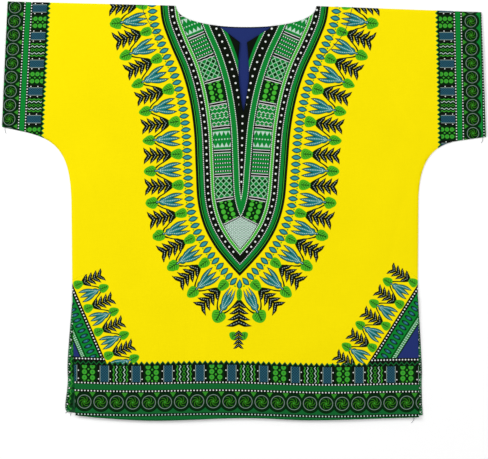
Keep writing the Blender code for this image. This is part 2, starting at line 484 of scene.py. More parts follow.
def arithmetic(operation, swapped=False):
    """A method for one operation, which takes the other number first where swapped."""

    def method(self, other):
        return self.paint.math(operation, *((other, self) if swapped else (self, other)))

    return method


class Value:
    """A number that varies over a surface, written with ordinary arithmetic."""

    def __init__(self, paint, socket):
        self.paint, self.socket = paint, socket

    __add__ = __radd__ = arithmetic("ADD")
    __mul__ = __rmul__ = arithmetic("MULTIPLY")
    __sub__ = arithmetic("SUBTRACT")
    __rsub__ = arithmetic("SUBTRACT", swapped=True)
    __mod__ = arithmetic("FLOORED_MODULO")

    def __abs__(self):
        return self.paint.math("ABSOLUTE", self)


class Paint:
    """One material's nodes and the colour printed in it so far. Lengths in it are millimetres."""

    SOFT = 0.55  # how wide the print's edges blur, from the cloth's weave

    def __init__(self, name, inks, colour):
        self.material = bpy.data.materials.new(name)
        self.material.use_nodes = True
        self.tree = self.material.node_tree
        self.tree.nodes.clear()
        self.inks, self.colour = inks, colour
        self.shader = self.node("ShaderNodeBsdfPrincipled")
        self.node("ShaderNodeOutputMaterial", None, {0: self.shader.outputs[0]})
        self.own_place = self.node("ShaderNodeTexCoord").outputs["Object"]
        apart = self.node("ShaderNodeSeparateXYZ", None, {0: self.own_place})
        self.x, self.y = (Value(self, apart.outputs[i]) * 1000.0 for i in range(2))

    def node(self, kind, settings=None, inputs=None):
        return add_node(self.tree, kind, settings, inputs)

    def math(self, operation, *terms, clamp=False):
        settings = {"operation": operation, "use_clamp": clamp}
        return Value(self, self.node("ShaderNodeMath", settings, dict(enumerate(terms))).outputs[0])

    def smaller(self, *terms):
        return functools.reduce(lambda a, b: self.math("MINIMUM", a, b), terms)

    def larger(self, *terms):
        return functools.reduce(lambda a, b: self.math("MAXIMUM", a, b), terms)

    def fold(self, value, period):
        """Distance to the nearest multiple of the period."""
        return self.math("PINGPONG", value, period / 2)

    def length(self, u, v):
        return self.math("SQRT", u * u + v * v)

    def dots(self, along, pitch, across, radius):
        """Distance outside a row of round dots."""
        return self.length(self.fold(along, pitch), across) - radius

    def cover(self, distance, soft=SOFT):
        """1 inside a shape whose edge is where distance is 0, and 0 outside."""
        return self.math("MULTIPLY_ADD", distance, -1 / soft, 0.5, clamp=True)

    def is_kind(self, index, kind):
        return self.math("COMPARE", index, float(kind), 0.5)

    def lay(self, colour, mask):
        """Prints a colour over what is there, where the mask is 1."""
        mix = self.node("ShaderNodeMix", {"data_type": "RGBA"}, {0: mask, 6: self.colour, 7: colour})
        self.colour = mix.outputs[2]

    def stamp(self, ink, distance, mask=None, soft=SOFT):
        """Prints an ink inside a shape, as strongly as the mask says."""
        inside = self.cover(distance, soft)
        self.lay(getattr(self.inks, ink), inside if mask is None else inside * mask)

    def nest(self, distance, **depths):
        """Prints inks one inside another, each from its own depth inside a shape."""
        for ink, depth in depths.items():
            self.stamp(ink, distance + depth)

    def ramp(self, value, stops):
        """Bands of constant colour, each from its own place on."""
        made = self.node("ShaderNodeValToRGB", None, {0: value})
        made.color_ramp.interpolation = "CONSTANT"
        elements = made.color_ramp.elements
        while len(elements) > 1:
            elements.remove(elements[-1])
        for i, (place, ink) in enumerate(stops):
            element = elements[0] if i == 0 else elements.new(place)
            element.position = place
            element.color = (*getattr(self.inks, ink), 1.0)
        return made.outputs[0]

    def attribute(self, name):
        return Value(self, self.node("ShaderNodeAttribute", {"attribute_name": name}).outputs["Fac"])

    def noise(self, scale, detail, stretch=(1.0, 1.0, 1.0)):
        sized = self.node("ShaderNodeMapping", None, {"Vector": self.own_place, "Scale": stretch})
        made = self.node("ShaderNodeTexNoise", {"noise_dimensions": "3D"},
                         {"Vector": sized.outputs[0], "Scale": scale, "Detail": detail})
        return Value(self, made.outputs[0])


THREADS_PER_MM = 2.4
SLUBS_PER_M = 90.0
WARP_SLUBS_PER_M = 80.0
CLOUDS_PER_M = 9.0
SLUB_STRETCH = 14.0
WEAVE_HEIGHT = 0.00006
WEAVE_STRENGTH = 0.35
SLUB_HEIGHT = 0.8
SHEEN = 0.04


def cotton(paint, fade=0.05, roughness=0.78):
    """Finishes printed cotton: the colour with faint slubs and fading, a plain weave and a soft sheen."""
    slub = paint.noise(SLUBS_PER_M, 3.0, (1.0, SLUB_STRETCH, 1.0))
    warp = paint.noise(WARP_SLUBS_PER_M, 3.0, (SLUB_STRETCH, 1.0, 1.0))
    cloud = paint.noise(CLOUDS_PER_M, 2.0)
    shade = 1.0 - fade * (slub + warp + cloud * 1.2)
    tone = paint.node("ShaderNodeCombineColor", None, {0: shade, 1: shade, 2: shade})
    worn = paint.node("ShaderNodeMix", {"data_type": "RGBA", "blend_type": "MULTIPLY"},
                      {0: 1.0, 6: paint.colour, 7: tone.outputs[0]})
    turn = math.pi * THREADS_PER_MM
    over = paint.math("SINE", paint.x * turn) * paint.math("SINE", paint.y * turn)
    height = over * 0.5 + (slub + warp) * SLUB_HEIGHT
    bump = paint.node("ShaderNodeBump", None,
                      {"Strength": WEAVE_STRENGTH, "Distance": WEAVE_HEIGHT, "Height": height})
    for name, value in (
        ("Base Color", worn.outputs[2]), ("Normal", bump.outputs[0]),
        ("Roughness", roughness + (slub - 0.5) * 0.12), ("Specular IOR Level", SHEEN),
    ):
        put(paint.tree, paint.shader.inputs[name], value)
    return paint.material


# The neck print

YOKE_TOP = 0.3880
YOKE_AXIS_AT_TOP = 0.0011
YOKE_LEAN = 0.0178
YOKE_STEPS = 10


class YokeRow(NamedTuple):
    """Half the neck panel's width at one distance below the top, in metres."""

    below: float
    half_width: float


YOKE_EDGE = (
    YokeRow(0.000, 0.1560),
    YokeRow(0.040, 0.1510),
    YokeRow(0.085, 0.1340),
    YokeRow(0.130, 0.1140),
    YokeRow(0.180, 0.0990),
    YokeRow(0.240, 0.0890),
    YokeRow(0.310, 0.0845),
    YokeRow(0.370, 0.0800),
    YokeRow(0.415, 0.0680),
    YokeRow(0.452, 0.0480),
    YokeRow(0.482, 0.0240),
    YokeRow(0.508, 0.0000),
)


def yoke_place(points):
    """Distance outside the neck panel's edge, run along it from its tip, and its turn, in mm and radians."""
    line = through([(row.half_width, -row.below) for row in reversed(YOKE_EDGE)], YOKE_STEPS)
    below = YOKE_TOP - points[:, 1]
    axis = YOKE_AXIS_AT_TOP - YOKE_LEAN * below
    folded = np.stack([np.abs(points[:, 0] - axis), -below], axis=1)
    distance, run, aside = nearest(folded, line)
    steps = np.diff(np.array(line), axis=0)
    length = np.concatenate([[0.0], np.cumsum(np.linalg.norm(steps, axis=1))])
    turns = np.arctan2(-steps[:, 0], steps[:, 1]) + np.pi / 2
    middle = (length[1:] + length[:-1]) / 2
    turn = np.interp(run, middle, turns)
    half = np.interp(-folded[:, 1], [-p[1] for p in line[::-1]], [p[0] for p in line[::-1]])
    outside = (folded[:, 0] > half) | (folded[:, 1] < line[0][1])
    round_tip = outside & (run <= 0.0)
    turn = np.where(round_tip, np.arctan2(aside[:, 0], -aside[:, 1]), turn)
    off = np.where(outside, distance, -distance)
    return off * 1000, run * 1000, turn


class Band(NamedTuple):
    """A band of the neck panel, from its depth inside the edge on."""

    depth: float
    ink: str


BANDS = (
    Band(0.0, "black"), Band(4.4, "bright"), Band(5.4, "black"), Band(7.2, "green"), Band(13.4, "black"),
    Band(26.6, "bright"), Band(32.6, "black"), Band(68.6, "green"),
    Band(79.6, "black"), Band(98.0, "green"), Band(104.5, "black"),
)
BAND_SPAN = 120.0

# How far outside or inside the panel's edge each row is measured, where it turns round the tip
PETAL_ARC = 15.0
GARLAND_ARC = 60.0
BLOCK_ARC = 50.0

PETAL_PITCH = 12.7
PETAL_AT = 14.6
PETAL_HALF_WIDTH = 5.1
PETAL_CURVE = 0.055
BUD_AT = 20.2
BUD_RADIUS = 1.5


def petals(paint, off, run, turn):
    """A ring of pointed petals close to the neck panel, with a small bud between each two."""
    u = paint.fold(run + turn * PETAL_ARC, PETAL_PITCH)
    v = off - PETAL_AT
    paint.nest(u - PETAL_HALF_WIDTH + v * v * PETAL_CURVE, deep=0.0, teal=1.25, sky=2.7)
    paint.stamp("leaf", paint.length(PETAL_PITCH / 2 - u, off - BUD_AT) - BUD_RADIUS)


FERN_MIDDLE = 64.0
FERN_HALF_LENGTH = 20.0
LEAFLET_SLANT = 0.75
LEAFLET_AT = 49.0
LEAFLET_PITCH = 11.6
LEAFLET_HALF_WIDTH = 4.2


def ferns(paint, u, off):
    """Black fern sprigs, each with a pale dotted rib on its leaflets."""
    stem = paint.larger(u - 1.6, abs(off - FERN_MIDDLE) - FERN_HALF_LENGTH)
    slant = off - u * LEAFLET_SLANT
    rib = paint.fold(slant - LEAFLET_AT, LEAFLET_PITCH)
    taper = paint.larger(u - 6.5, 0.0) * 0.50
    reach = abs(slant - LEAFLET_AT - LEAFLET_PITCH * 1.5) - LEAFLET_PITCH * 2
    leaflet = paint.larger(rib * 0.8 - LEAFLET_HALF_WIDTH + taper, reach)
    paint.stamp("black", paint.smaller(stem, leaflet))
    paint.stamp("mint", paint.larger(rib - 0.55, leaflet + 1.6, paint.fold(u, 3.0) - 0.8), 0.7)


TULIP_MIDDLE = 72.0
TULIP_HALF_HEIGHT = 21.0
TULIP_PETAL = 4.4
TULIP_SPREAD = 10.2
CUP_AT = 57.0
CUP_RADIUS = 6.4


def tulips(paint, u, off):
    """Teal flowers of three petals, with dark edges and pale dotted middles."""
    rise = (off - TULIP_MIDDLE) * (1 / TULIP_HALF_HEIGHT)
    wide = 1.0 - rise * rise
    open_out = (TULIP_MIDDLE + TULIP_HALF_HEIGHT - off) * (0.5 / TULIP_HALF_HEIGHT)
    aside = abs(u - TULIP_SPREAD + open_out * open_out * TULIP_SPREAD)
    cup = paint.length(u, (off - CUP_AT) * 0.8) - CUP_RADIUS
    stem = paint.larger(u - 1.9, abs(off - 49.0) - 6.0)
    shape = paint.smaller(stem, cup, u - wide * TULIP_PETAL, aside - wide * 4.0)
    paint.nest(shape, deep=-0.3, teal=0.7)
    paint.stamp("sky", shape + 2.5, 0.4)
    dots = paint.larger(paint.smaller(u, aside) - 0.6, paint.fold(off, 3.2) - 0.85)
    paint.stamp("mint", paint.larger(dots, shape + 1.4), 0.85)


LEAF_SIZE = 9.4
VEIN_PITCH = 4.8


def leaves(paint, u, v):
    """A round green leaf about one point, with a dark rib and side veins."""
    leaf = paint.length(u * (1.0 + v * 0.030), v * 0.82) - LEAF_SIZE
    paint.stamp("leaf", leaf)
    paint.stamp("bright", leaf + 2.6, 0.35)
    vein = paint.smaller(u - 0.8, paint.fold(v - u * 0.9, VEIN_PITCH) - 0.6)
    paint.stamp("deep", paint.larger(vein, leaf + 3.0), 0.9)


SPRIG_PITCH = 28.5
VINE_AT = 60.0
VINE_SWING = 16.0
VINE_HALF_WIDTH = 1.4
INNER_LEAF = 34.0
OUTER_LEAF = 84.0
TULIP_TURNED = 119.0


def garland(paint, along, off):
    """A winding vine: ferns on its outer side, flowers on its inner side, a leaf in each bend."""
    fern_u = paint.fold(along, SPRIG_PITCH * 2)
    flower_u = SPRIG_PITCH - fern_u
    sway = paint.math("COSINE", along * (math.pi / SPRIG_PITCH)) * VINE_SWING
    paint.stamp("deep", abs(off - VINE_AT + sway) * 0.6 - VINE_HALF_WIDTH)
    leaves(paint, fern_u, off - INNER_LEAF)
    leaves(paint, flower_u, off - OUTER_LEAF)
    ferns(paint, fern_u * 0.95, off)
    tulips(paint, flower_u * 0.92, TULIP_TURNED - off)


DROP_AT = -207.5
DROP_SCALE = 1.5


def drop(paint, aside):
    """A small fern that hangs below the garland's tip, with a leaf at each side."""
    down = (DROP_AT - paint.y) * DROP_SCALE
    across = aside * DROP_SCALE
    leaves(paint, abs(across - 16.0), down - 33.0)
    ferns(paint, across, down + 26.0)


BLOCK_FROM, BLOCK_TO = 34.4, 66.0
BLOCK_LENGTH = 44.0
BLOCK_GROUNDS = ("green", "deep", "green", "black", "green")
BLOCK_EDGE = 3.6
ZIGZAG_PITCH = 7.9
PEA_PITCH = 9.8
ROW_PITCH = 14.6


def blocks(paint, deep, run, turn):
    """The neck panel's pattern blocks, one after another down each arm."""
    along = run - turn * BLOCK_ARC
    number = paint.math("FLOOR", along * (1 / BLOCK_LENGTH))
    t = along - number * BLOCK_LENGTH - BLOCK_LENGTH / 2
    a = deep - (BLOCK_FROM + BLOCK_TO) / 2
    up, aside = abs(t), abs(a)
    count = len(BLOCK_GROUNDS)
    kind = number % float(count)
    ground = paint.ramp(kind * (1 / count) + 0.05, [(i / count, ink) for i, ink in enumerate(BLOCK_GROUNDS)])
    inside = paint.cover(aside - (BLOCK_TO - BLOCK_FROM) / 2)
    paint.lay(ground, inside)
    zigzags, peas, lattices, rows, teeth = (paint.is_kind(kind, i) * inside for i in range(count))
    zigzag = paint.fold(up - 2.0, 13.6) - paint.fold(a, ZIGZAG_PITCH) * 0.8 - 1.2
    paint.stamp("white", abs(zigzag) * 0.8 - 0.5, zigzags * 0.8)

    pea = paint.length(aside - 7.6, paint.fold(t, PEA_PITCH) - 0.2) - 4.1
    small = paint.dots(t + PEA_PITCH / 2, PEA_PITCH, a, 1.5)
    paint.stamp("bright", paint.smaller(pea, small), peas)

    lattice = paint.fold(a, 10.5) + paint.fold(t, 11.0)
    paint.stamp("mint", abs(lattice - 5.3) - 0.6, lattices * 0.8)
    paint.stamp("black", lattice - 3.0, lattices)

    paint.stamp("green", abs(paint.fold(t, ROW_PITCH) - ROW_PITCH / 4) - 2.6, rows)
    paint.stamp("white", paint.dots(a, 4.4, paint.fold(t, ROW_PITCH / 2), 0.95), rows)

    tooth = paint.larger(paint.fold(a, ZIGZAG_PITCH) * 2.0 - up + 6.5, up - 14.5)
    paint.stamp("mint", paint.smaller(tooth * 0.5, paint.dots(a, 5.3, t, 1.3)), teeth * 0.8)

    edge = BLOCK_LENGTH / 2 - up
    paint.stamp("black", edge - BLOCK_EDGE, inside)
    paint.stamp("white", abs(edge - 2.3) - 0.5, inside)


RING_PITCH = 7.2
RING_RISE = 6.2
RING_RADIUS = 2.5


def tip_panel(paint, deep, run, turn):
    """The pale panel of small rings at the neck panel's tip."""
    here = paint.cover(paint.larger(BLOCK_FROM - deep, run - turn * BLOCK_ARC - BLOCK_LENGTH))
    paint.lay(paint.inks.mint, here)
    shift = paint.math("FLOOR", paint.y * (1 / RING_RISE))
    ring = paint.dots(paint.x + shift * (RING_PITCH / 2), RING_PITCH,
                      paint.fold(paint.y - RING_RISE / 2, RING_RISE), RING_RADIUS)
    paint.stamp("deep", abs(ring) - 0.42, here)
    paint.stamp("green", ring + 1.7, here)


class DotRow(NamedTuple):
    """A row of white dots round the neck panel."""

    depth: float
    pitch: float
    radius: float


DOT_ROWS = (DotRow(21.0, 12.0, 1.7), DotRow(89.0, 13.4, 1.8))
DASH_DEPTHS = (14.9, 26.9, 32.3, 68.9, 79.3, 98.2)
DASH_PITCH = 3.6
TIP_STUDS_AT = 112.0
TIP_STUDS_HALF_LENGTH = 66.0
TIP_STUDS_DEPTH = 80.0
YOKE_ATTRIBUTES = ("yoke_off", "yoke_run", "yoke_turn")


def neck_material(inks):
    """The middle of the cloth: the neck panel, its petals and its garland on the yellow ground."""
    paint = Paint("neck_print", inks, inks.ground)
    off, run, turn = (paint.attribute(name) for name in YOKE_ATTRIBUTES)
    aside = abs(paint.x - YOKE_AXIS_AT_TOP * 1000 + (YOKE_TOP * 1000 - paint.y) * YOKE_LEAN)
    drop(paint, aside)
    petals(paint, off, run, turn)
    garland(paint, run + turn * GARLAND_ARC, off)
    deep = off * -1.0
    bands = paint.ramp(deep * (1 / BAND_SPAN), [(band.depth / BAND_SPAN, band.ink) for band in BANDS])
    paint.lay(bands, paint.cover(off))
    blocks(paint, deep, run, turn)
    tip_panel(paint, deep, run, turn)
    for row in DOT_ROWS:
        spot = paint.dots(run - turn * row.depth, row.pitch, deep - row.depth, row.radius)
        paint.stamp("white", paint.larger(spot, 7.0 - aside))
    stud = paint.dots(paint.y, DOT_ROWS[1].pitch, aside, 1.7)
    reach = abs(paint.y - TIP_STUDS_AT) - TIP_STUDS_HALF_LENGTH
    paint.stamp("white", paint.larger(stud, reach, TIP_STUDS_DEPTH - deep))
    for depth in DASH_DEPTHS:
        dash = paint.fold(run - turn * depth, DASH_PITCH) - 1.1
        paint.stamp("white", paint.larger(abs(deep - depth) - 0.6, dash))
    return cotton(paint)


# The borders

ROSE_PITCH = 29.6
ROSE_AT = 27.6
ROSE_REACH = 18.2
STRIPE_PERIOD = 58.5
FIELD_HALF_LENGTH = 15.4
DOT_PITCH = 5.9
STUD_PITCH = 14.8
TOOTH_PITCH = 9.75
BORDER_TOP = 48.0
BAR_TOP = 39.5
BAR_HALF_LENGTH = 7.6
BAND_HALF_WIDTH = 5.0
BAND_EDGE = 9.8
EDGE_BEADS = 50.8
POD_PITCH = 10.4
WAVE_PITCH = 9.2


def border(paint, u, v, band):
    """A printed border: bars under a toothed edge, a green band, and whirling roses to the edge.

    u runs along the border and v up from the green band's middle, in millimetres of the hem's size.
    """
    edge = v + paint.fold(u, TOOTH_PITCH) * 1.1 - BORDER_TOP
    paint.stamp(band, edge)
    paint.stamp("black", edge + 2.4)
    bars(paint, u, v)
    roses(paint, u, v, band)
    paint.stamp("black", abs(v + EDGE_BEADS) - 2.6)
    paint.stamp("mint", paint.dots(u, DOT_PITCH, v + EDGE_BEADS, 1.2))
    paint.stamp("black", abs(v) - BAND_EDGE)
    paint.stamp(band, abs(v) - BAND_HALF_WIDTH)
    paint.stamp("white", paint.dots(u, DOT_PITCH, abs(v) - 7.2, 1.25))


def bars(paint, u, v):
    """Blue bars, with pods and waves by turns in the fields between them."""
    row = paint.cover(v - BAR_TOP)
    along = (u % STRIPE_PERIOD) - STRIPE_PERIOD / 2
    aside = abs(along)
    bar = STRIPE_PERIOD / 2 - aside
    solid = paint.cover(bar - BAR_HALF_LENGTH) * row
    paint.lay(paint.inks.bar, solid)
    mesh = abs(paint.fold(u, 4.8) + paint.fold(v, 4.8) - 2.4) - 0.5
    paint.stamp("black", mesh, solid * 0.85, 0.4)
    paint.stamp("mint", abs(bar - 7.9) - 0.4, row * 0.55)
    paint.stamp("white", paint.dots(v, STUD_PITCH, bar - 10.6, 1.1), row)

    field = paint.cover(aside - FIELD_HALF_LENGTH) * row
    kind = paint.math("FLOOR", u * (1 / STRIPE_PERIOD)) % 2.0
    one, other = (paint.is_kind(kind, i) * field for i in range(2))
    paint.lay(paint.inks.deep, field)
    vein = paint.dots(v + 4.0, POD_PITCH, aside - 7.4, 1.3)
    seed = paint.dots(v - 1.2, POD_PITCH, along, 1.8)
    paint.stamp("bright", paint.smaller(vein - 3.3, seed), one * 0.8)
    paint.stamp("green", vein, one)
    swing = paint.fold(v, WAVE_PITCH)
    paint.stamp("mint", abs(aside - 5.6 - swing * 0.7) - 0.6, other)
    outer = abs(aside - 11.2 - swing * 0.5) - 1.0
    lozenge = abs(aside + paint.fold(v + WAVE_PITCH / 2, WAVE_PITCH) * 0.7 - 2.9) - 0.6
    paint.stamp("bright", paint.smaller(outer, lozenge), other * 0.75)


def roses(paint, u, v, band):
    """A row of whirling roses between the green band and the cloth's edge."""
    row = paint.cover(v)
    cell = (u % ROSE_PITCH) - ROSE_PITCH / 2
    rise = v + ROSE_AT
    ring = paint.length(cell, rise)
    paint.lay(paint.inks.deep, row)
    paint.stamp(band, paint.larger(ROSE_REACH - ring, v + 26.0))
    whirl = paint.math("SINE", paint.math("ARCTAN2", cell, rise) * 3.0 + ring * 0.55)
    arm = abs(whirl) * ring * 0.22 - 0.55
    paint.stamp("leaf", paint.larger(arm, ring - 9.8, 2.4 - ring), row * 0.45)
    paint.stamp("mint", abs(ring - 12.2) - 0.5, row * 0.4)
    paint.stamp("bright", ring - 1.7, row * 0.7)
    point = paint.fold(u, ROSE_PITCH) * 1.5 - v - ROSE_REACH
    paint.stamp("bright", paint.larger(point, v), row * 0.55)


class Corner(NamedTuple):
    """A peak printed in a lower corner: the cloth's side, the way in, its foot and its height."""

    x: float
    inward: float
    reach: float
    height: float


HEM_BAND_AT = -324.0
HEM_BAND_TILT = 0.0068
HEM_BAND_WAVE = 1.7
HEM_BAND_CREST = -35.0
HEM_BAND_WAVELENGTH = 368.0
CORNERS = {
    "left": Corner(x=-318.0, inward=1.0, reach=64.0, height=146.0),
    "right": Corner(x=325.0, inward=-1.0, reach=96.0, height=150.0),
}
PEAK_SCALE = 1.22  # its garland is this much smaller than the neck's
PEAK_GARLAND_AT = 22.0
RIM_PITCH = 5.6
RIM_DOT = 1.3
LONG_BEAD_PITCH = 10.2
LONG_BEAD_ROUNDNESS = 0.42
CORE_DEPTH = 41.0


def above_hem_band(paint):
    """The height above the hem's green band, which waves a little with the hem."""
    wave = paint.math("COSINE", (paint.x - HEM_BAND_CREST) * (2 * math.pi / HEM_BAND_WAVELENGTH))
    return paint.y - HEM_BAND_AT + paint.x * HEM_BAND_TILT - wave * HEM_BAND_WAVE


def peak(paint, corner):
    """A blue corner behind slanted bands: specks, a row of long beads and a beaded rim, in a garland."""
    slope = math.hypot(corner.reach, corner.height)
    lean_in, lean_up = corner.height / slope, corner.reach / slope
    u = (paint.x - corner.x) * corner.inward
    h = above_hem_band(paint) - BORDER_TOP
    out = u * lean_in + h * lean_up - corner.reach * lean_in
    along = h * lean_in - u * lean_up - corner.height * lean_in
    past = paint.larger(along, 0.0) * 60.0
    garland(paint, along * PEAK_SCALE + SPRIG_PITCH / 2, out * PEAK_SCALE + PEAK_GARLAND_AT + past)
    paint.stamp("black", out)
    paint.stamp("white", paint.dots(along, RIM_PITCH, out + 4.0, RIM_DOT))
    paint.stamp("green", out + 8.0)
    bead = paint.dots(along, LONG_BEAD_PITCH, (out + 19.0) * LONG_BEAD_ROUNDNESS, 3.5)
    paint.nest(bead, deep=0.0, bar=1.2)
    paint.stamp("sky", paint.larger(bead + 2.4, paint.fold(out, 3.0) - 0.9))
    paint.nest(out, black=30.0, green=31.6)
    speck = paint.dots(along + out * 1.1, 4.4, paint.fold(out, 3.1), 1.15)
    paint.stamp("mint", paint.larger(speck, out + 33.0))
    paint.nest(out, black=39.2, blue=CORE_DEPTH)
    paint.stamp("black", paint.larger(h - 6.6, out))
    paint.stamp("white", paint.larger(paint.dots(paint.x, RIM_PITCH, h - 3.4, RIM_DOT), out + 1.0))


BORDER_START = 900.0  # left of and below all the cloth, so that no border is counted from within it


def hem_material(inks, word):
    """One half of the lower cloth: the peak in its corner and the hem's border."""
    paint = Paint(f"hem_print_{word}", inks, inks.ground)
    peak(paint, CORNERS[word])
    border(paint, paint.x + BORDER_START, above_hem_band(paint), "hem_green")
    return cotton(paint)


class Cuff(NamedTuple):
    """Where a cuff's green band crosses at one height, its slope, and the way to the neck."""

    x: float
    y: float
    slope: float
    inward: float


CUFFS = {
    "left": Cuff(x=-402.6, y=266.0, slope=0.0530, inward=1.0),
    "right": Cuff(x=395.0, y=250.0, slope=-0.0195, inward=-1.0),
}
CUFF_SCALE = 0.87


def cuff_material(inks, word):
    """A sleeve's end with the hem's border, smaller."""
    cuff = CUFFS[word]
    paint = Paint(f"cuff_print_{word}", inks, inks.ground)
    v = (paint.x - cuff.x - (paint.y - cuff.y) * cuff.slope) * (cuff.inward / CUFF_SCALE)
    border(paint, (paint.y + BORDER_START) * (1 / CUFF_SCALE), v, "green")
    return cotton(paint)


def plain_material(inks):
    """The unprinted yellow ground."""
    return cotton(Paint("yellow_ground", inks, inks.ground))


WASHED_YELLOW = (0.62, 0.50, 0.10)
WASHED_GREEN = (0.02, 0.10, 0.04)
INSIDE_FADE = 0.10
INSIDE_NECK_AT = 300.0
INSIDE_NECK_RADIUS = 150.0
INSIDE_NECK_SOFT = 30.0
INSIDE_CUFF_FROM = 350.0
INSIDE_CUFF_BOTTOM = 100.0
INSIDE_BORDER_TOP = -150.0


def inside_material(inks):
    """The cloth's inside: the blue of the neck's reverse, paling to washed yellow away from it."""
    paint = Paint("inside_cloth", inks, WASHED_YELLOW)
    neck = paint.length(paint.x * 0.9, paint.y - INSIDE_NECK_AT) - INSIDE_NECK_RADIUS
    paint.stamp("blue", neck, soft=INSIDE_NECK_SOFT)
    cuffs = paint.larger(INSIDE_CUFF_FROM - abs(paint.x), INSIDE_CUFF_BOTTOM - paint.y)
    paint.lay(WASHED_GREEN, paint.cover(paint.smaller(paint.y - INSIDE_BORDER_TOP, cuffs), 3.0))
    return cotton(paint, fade=INSIDE_FADE)


def vent_material(inks):
    """The turned vent hems: the border's small print, seen edge on."""
    paint = Paint("vent_hem_print", inks, inks.hem_green)
    y, across = paint.y, paint.attribute("across")
    patch = paint.fold(y, 58.0) - 15.0 + paint.math("SINE", y * 0.9) * 1.5
    paint.stamp("deep", patch, 0.8, 2.0)
    paint.stamp("bright", abs(across - 5.0 - paint.fold(y, WAVE_PITCH) * 0.7) - 0.9, 0.65, 0.8)
    paint.stamp("black", paint.fold(y + 7.0, 29.0) - 1.8, 0.7, 1.2)
    paint.stamp("white", paint.dots(y, STUD_PITCH, across - 3.4, 1.2), 0.9)
    paint.stamp("mint", paint.dots(y, 4.6, across - 1.4, 0.8), 0.55, 0.8)
    return cotton(paint)


def painted_shade_roll_material(inks):
    """The neck's rolled edge: the neck's blue, with black bars across that make it nearly black, painted
    shade along the roll.
    """
    paint = Paint("neck_roll_cloth_painted_shade", inks, inks.blue)
    # Black bars over most of the roll: painted shade of the rolled edge.
    paint.stamp("black", paint.fold(paint.x * 0.6 + paint.y, 3.4) - 1.5, soft=1.0)
    return cotton(paint)


def thread_material(inks):
    """Dark sewing thread, with the faint light of its twist."""
    paint = Paint("sewing_thread", inks, inks.thread)
    paint.stamp("teal", paint.fold(paint.x + paint.y, 0.6) - 0.08, 0.3)
    return cotton(paint, roughness=0.6)


@functools.cache
def cloth_finishes():
    """Every finish of the two panels, made when the first of them is built."""
    _, inks = settings()
    return {
        "neck": neck_material(inks),
        "hem_left": hem_material(inks, "left"),
        "hem_right": hem_material(inks, "right"),
        "cuff_left": cuff_material(inks, "left"),
        "cuff_right": cuff_material(inks, "right"),
        "ground": plain_material(inks),
        "inside": inside_material(inks),
    }


# Meshes of the cloth

REGIONS = ("neck", "hem_left", "hem_right", "cuff_left", "cuff_right", "ground")
HEM_REGION_TOP = -0.080
HEM_REGION_INNER = 0.160
BORDER_REGION_TOP = -0.266
CUFF_REGION_LEFT = -0.352
CUFF_REGION_RIGHT = 0.342
CUFF_REGION_BOTTOM = 0.10
DROP_REGION_REACH = 0.045
DROP_REGION_BOTTOM = -0.262
YOKE_REGION = 100.0  # how far outside the neck panel's edge its print reaches, in millimetres
MERGE = 2e-4  # points closer than this to a cut are moved onto it


def cut_on_grid(sheet, faces, axis, cuts):
    """Cuts faces along every place in cuts, halving the work at each step."""
    if not cuts or not faces:
        return
    middle = len(cuts) // 2
    place, normal = [0.0, 0.0, 0.0], [0.0, 0.0, 0.0]
    place[axis], normal[axis] = cuts[middle], 1.0
    geometry = list({v for f in faces for v in f.verts}) + list({e for f in faces for e in f.edges}) + faces
    done = bmesh.ops.bisect_plane(sheet, geom=geometry, dist=MERGE, plane_co=place, plane_no=normal)
    found = [g for g in done["geom"] if isinstance(g, bmesh.types.BMFace)]
    low = [f for f in found if f.calc_center_median()[axis] < cuts[middle]]
    high = [f for f in found if f.calc_center_median()[axis] >= cuts[middle]]
    cut_on_grid(sheet, low, axis, cuts[:middle])
    cut_on_grid(sheet, high, axis, cuts[middle + 1:])


def flat_sheet(outline, grid):
    """The outline as one face, cut along the print's axis and on a square grid."""
    sheet = bmesh.new()
    sheet.faces.new([sheet.verts.new((x, y, 0.0)) for x, y in reversed(outline)])
    bmesh.ops.bisect_plane(sheet, geom=[*sheet.verts, *sheet.edges, *sheet.faces], dist=MERGE,
                           plane_co=(YOKE_AXIS_AT_TOP, YOKE_TOP, 0.0), plane_no=(1.0, -YOKE_LEAN, 0.0))
    for axis in range(2):
        low, high = min(p[axis] for p in outline), max(p[axis] for p in outline)
        count = math.ceil((high - low) / grid)
        cuts = [low + (high - low) * i / count for i in range(1, count)]
        cut_on_grid(sheet, list(sheet.faces), axis, cuts)
    return sheet


def region_of(centre, off):
    """Which stretch of the print a face lies in."""
    x, y = centre
    if y > CUFF_REGION_BOTTOM and not CUFF_REGION_LEFT <= x <= CUFF_REGION_RIGHT:
        return "cuff_left" if x < 0 else "cuff_right"
    if y < BORDER_REGION_TOP or (y < HEM_REGION_TOP and abs(x) > HEM_REGION_INNER):
        return "hem_left" if x < 0 else "hem_right"
    in_drop = abs(x) < DROP_REGION_REACH and DROP_REGION_BOTTOM < y < 0.0
    return "neck" if off < YOKE_REGION or in_drop else "ground"


def placed(name, data):
    """A new object in the scene for a mesh, a curve, a lamp or a camera."""
    made = bpy.data.objects.new(name, data)
    bpy.context.scene.collection.objects.link(made)
    return made


def mesh_of(name, body, attributes):
    """A smooth mesh of what was modelled, in the shirt's place, with numbers kept on its points."""
    for face in body.faces:
        face.smooth = True
    mesh = bpy.data.meshes.new(name)
    body.to_mesh(mesh)
    body.free()
    for key, values in attributes.items():
        mesh.attributes.new(key, "FLOAT", "POINT").data.foreach_set("value", np.float32(values))
    mesh.transform(Matrix.Translation(settle()))
    return mesh


def made_mesh(piece):
    """A plain mesh in the piece's place, with its modifiers applied."""
    bpy.context.view_layer.update()
    depsgraph = bpy.context.evaluated_depsgraph_get()
    mesh = bpy.data.meshes.new_from_object(piece.evaluated_get(depsgraph), depsgraph=depsgraph)
    name = piece.name
    bpy.data.batch_remove((piece, piece.data))
    mesh.name = name
    return placed(name, mesh)


